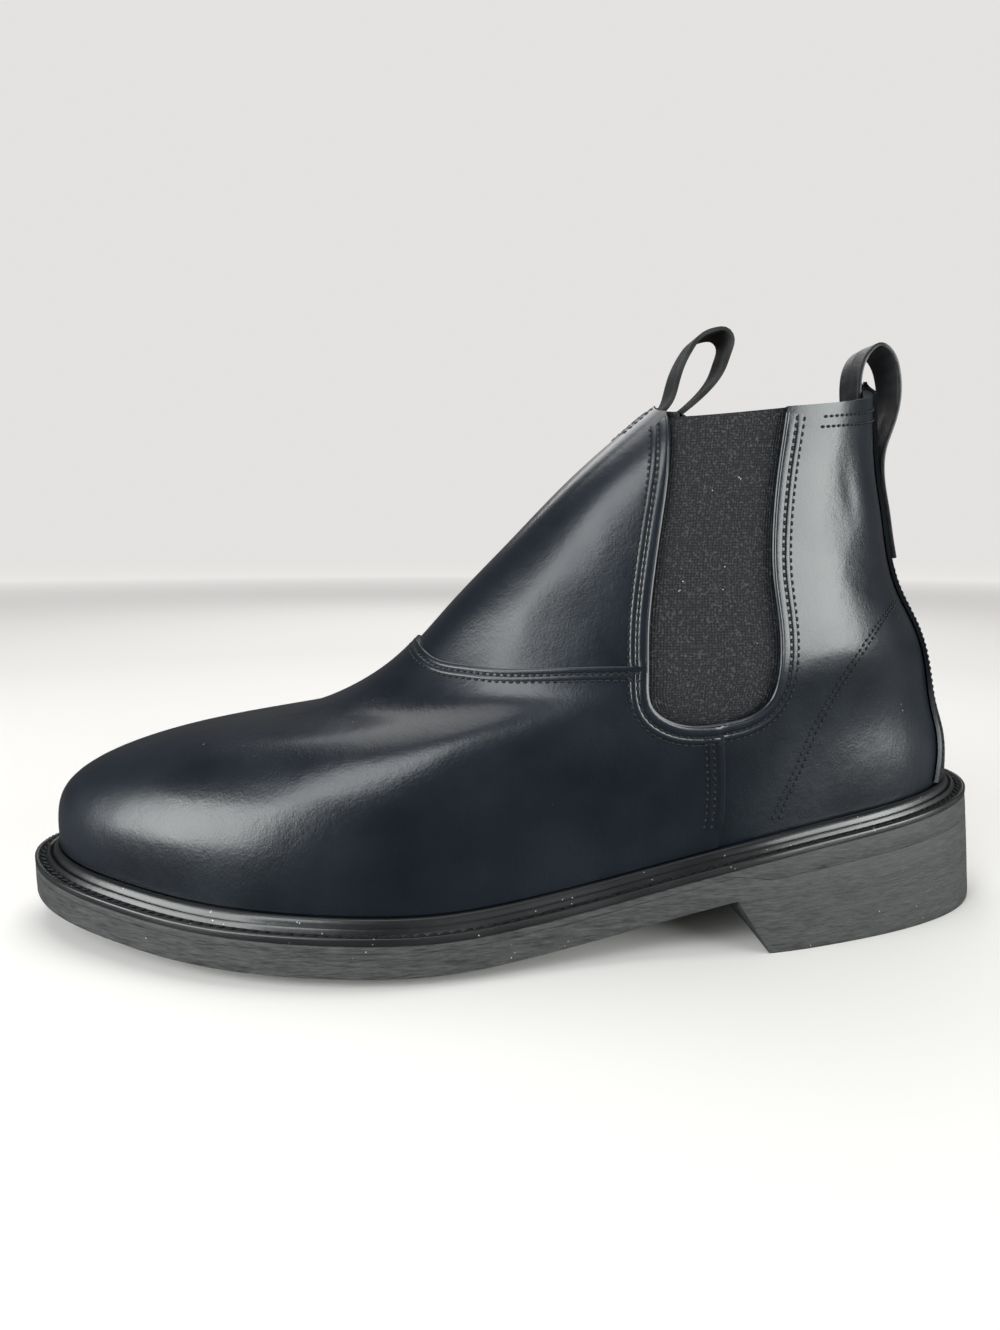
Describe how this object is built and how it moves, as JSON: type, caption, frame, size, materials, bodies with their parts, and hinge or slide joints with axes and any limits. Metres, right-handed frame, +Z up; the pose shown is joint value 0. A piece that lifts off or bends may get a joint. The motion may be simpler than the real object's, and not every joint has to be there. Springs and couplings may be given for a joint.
{
  "type": "side gore work boot",
  "caption": "Left pull-on work boot in black leather with elastic side gores, a stitched storm welt, a one-piece rubber sole with a raised heel, and pull loops at the collar.",
  "frame": {"origin": "on the floor, under the middle of the outsole's length and width", "axes": "+X from heel to toe, +Y towards the outer (lateral) side of the left foot, +Z up"},
  "size_m": [0.3194, 0.1186, 0.1854],
  "materials": {
    "sole_rubber": "buffed sides, matte",
    "welt": "moulded bead, satin",
    "insole": "plain",
    "upper_leather": "polished",
    "elastic": "ribbed knit",
    "webbing": "woven"
  },
  "bodies": {
    "root": {"outsole": "sole_rubber", "welt": "welt", "insole": "insole", "upper": "upper_leather", "gore_outer": "elastic", "gore_inner": "elastic", "backstay": "upper_leather", "pull_loop_front": "webbing", "pull_loop_rear": "webbing"}
  },
  "joints": []
}
